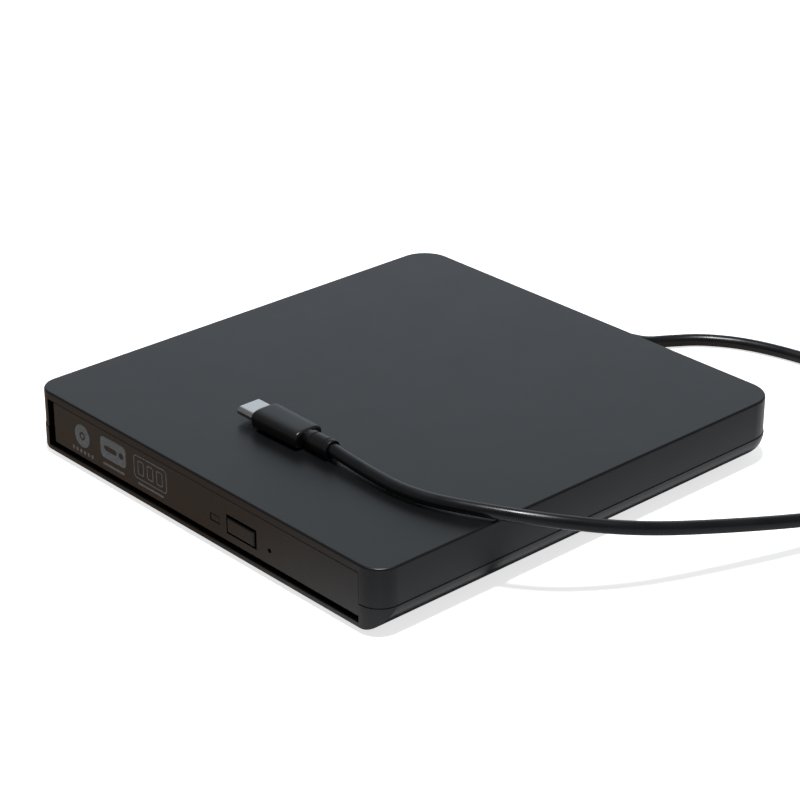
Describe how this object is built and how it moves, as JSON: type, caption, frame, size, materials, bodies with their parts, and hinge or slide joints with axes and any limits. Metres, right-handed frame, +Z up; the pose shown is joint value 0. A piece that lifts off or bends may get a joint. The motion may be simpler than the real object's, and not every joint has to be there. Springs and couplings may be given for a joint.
{
  "type": "external optical drive",
  "caption": "Slim external optical drive: two-shell case, sliding disc tray with spindle hub and pickup, eject button, and a short built-in USB cable.",
  "frame": {"origin": "on the ground, under the middle of the case", "axes": "+Z up, the tray opens towards -Y, +X to the right seen from the front"},
  "size_m": [0.1913, 0.2051, 0.0245],
  "materials": {
    "cover_plastic": "fine spark-eroded texture",
    "base_plastic": "fine spark-eroded texture",
    "bezel_plastic": "smooth satin",
    "tray_plastic": "fine texture",
    "foot_rubber": "matte",
    "foam": "open foam",
    "screw_steel": "blackened",
    "sheet_steel": "zinc plated",
    "bright_steel": "polished",
    "guide_acetal": "natural acetal",
    "board_green": "solder mask",
    "chip_black": "moulded epoxy",
    "connector_black": "moulded",
    "cast_alloy": "die cast",
    "ribbon_film": "polyimide film",
    "cable_pvc": "semi-gloss PVC",
    "plug_plastic": "satin overmould",
    "plug_steel": "nickel plated",
    "contact_gold": "gold plated",
    "lens_glass": "coated",
    "lamp_clear": "milky lens",
    "motor_steel": "plated",
    "damper_rubber": "soft"
  },
  "bodies": {
    "case": {"top_cover": "cover_plastic", "base_shell": "base_plastic", "case_screws": "screw_steel", "rubber_feet": "foot_rubber", "foam_pads": "foam", "bridge_board": "board_green", "bridge_parts": "chip_black", "sata_socket": "connector_black", "drive_chassis": "sheet_steel", "drive_lid": "sheet_steel", "lid_screws": "screw_steel", "guide_left": "guide_acetal", "guide_right": "guide_acetal", "drive_board": "board_green", "drive_connector": "connector_black", "ejector_housing": "guide_acetal", "tray_ribbon": "ribbon_film", "strain_relief": "cable_pvc", "usb_cable": "cable_pvc", "plug_collar": "plug_plastic", "plug_grip": "plug_plastic", "plug_shell": "plug_steel", "plug_contacts": "contact_gold"},
    "ejector": {"ejector_plunger": "bright_steel"},
    "runners": {"rail_left": "bright_steel", "rail_right": "bright_steel"},
    "tray": {"disc_tray": "tray_plastic", "deck_cover": "sheet_steel", "front_bezel": "bezel_plastic", "lamp_lens": "lamp_clear", "tray_board": "board_green", "eject_switch": "connector_black", "latch_solenoid": "motor_steel", "traverse_frame": "cast_alloy", "guide_rods": "bright_steel", "dampers": "damper_rubber", "traverse_screws": "screw_steel", "spindle_motor": "motor_steel", "sled_motor": "motor_steel"},
    "hub": {"spindle_hub": "tray_plastic", "turntable_pad": "damper_rubber"},
    "clip_1": {"disc_clip_1": "guide_acetal"},
    "clip_2": {"disc_clip_2": "guide_acetal"},
    "clip_3": {"disc_clip_3": "guide_acetal"},
    "sled": {"pickup_sled": "cast_alloy"},
    "lens": {"objective_lens": "lens_glass"},
    "screw": {"lead_screw": "bright_steel"},
    "button": {"eject_button": "bezel_plastic"},
    "latch": {"latch_lever": "guide_acetal"}
  },
  "joints": [
    {"name": "tray_slide", "type": "slide", "parent": "case", "child": "tray", "axis": [0, -1, 0], "range_m": [0, 0.125]},
    {"name": "runner_slide", "type": "slide", "parent": "case", "child": "runners", "axis": [0, -1, 0], "range_m": [0, 0.0625]},
    {"name": "ejector_slide", "type": "slide", "parent": "case", "child": "ejector", "axis": [0, -1, 0], "range_m": [0, 0.008]},
    {"name": "disc_spin", "type": "hinge", "parent": "tray", "child": "hub", "pos_m": [0.0003, -0.0082, 0.0119], "axis": [0, 0, 1], "continuous": true},
    {"name": "pickup_slide", "type": "slide", "parent": "tray", "child": "sled", "axis": [-0.7071, -0.7071, 0], "range_m": [0, 0.034]},
    {"name": "screw_spin", "type": "hinge", "parent": "tray", "child": "screw", "pos_m": [0.01303, -0.02093, 0.00845], "axis": [-0.7071, -0.7071, 0], "range_deg": [0, 4080]},
    {"name": "lens_focus", "type": "slide", "parent": "sled", "child": "lens", "axis": [0, 0, 1], "range_m": [-0.0003, 0.0003], "stiffness_N_per_m": 20},
    {"name": "button_press", "type": "slide", "parent": "tray", "child": "button", "axis": [0, 1, 0], "range_m": [0, 0.0008], "stiffness_N_per_m": 400, "springref_m": -0.0005},
    {"name": "latch_turn", "type": "hinge", "parent": "tray", "child": "latch", "pos_m": [0.034, -0.052, 0.0082], "axis": [0, 0, 1], "range_deg": [0, 12]},
    {"name": "clip_1_slide", "type": "slide", "parent": "hub", "child": "clip_1", "axis": [0, -1, 0], "range_m": [0, 0.0006], "stiffness_N_per_m": 400, "springref_m": -0.0003},
    {"name": "clip_2_slide", "type": "slide", "parent": "hub", "child": "clip_2", "axis": [0.866, 0.5, 0], "range_m": [0, 0.0006], "stiffness_N_per_m": 400, "springref_m": -0.0003},
    {"name": "clip_3_slide", "type": "slide", "parent": "hub", "child": "clip_3", "axis": [-0.866, 0.5, 0], "range_m": [0, 0.0006], "stiffness_N_per_m": 400, "springref_m": -0.0003}
  ],
  "couplings": [
    {"joint": "runner_slide", "follows": "tray_slide", "ratio": 0.5},
    {"joint": "ejector_slide", "follows": "tray_slide", "ratio": 0.064},
    {"joint": "screw_spin", "follows": "pickup_slide", "rad_per_m": 2094.4}
  ]
}
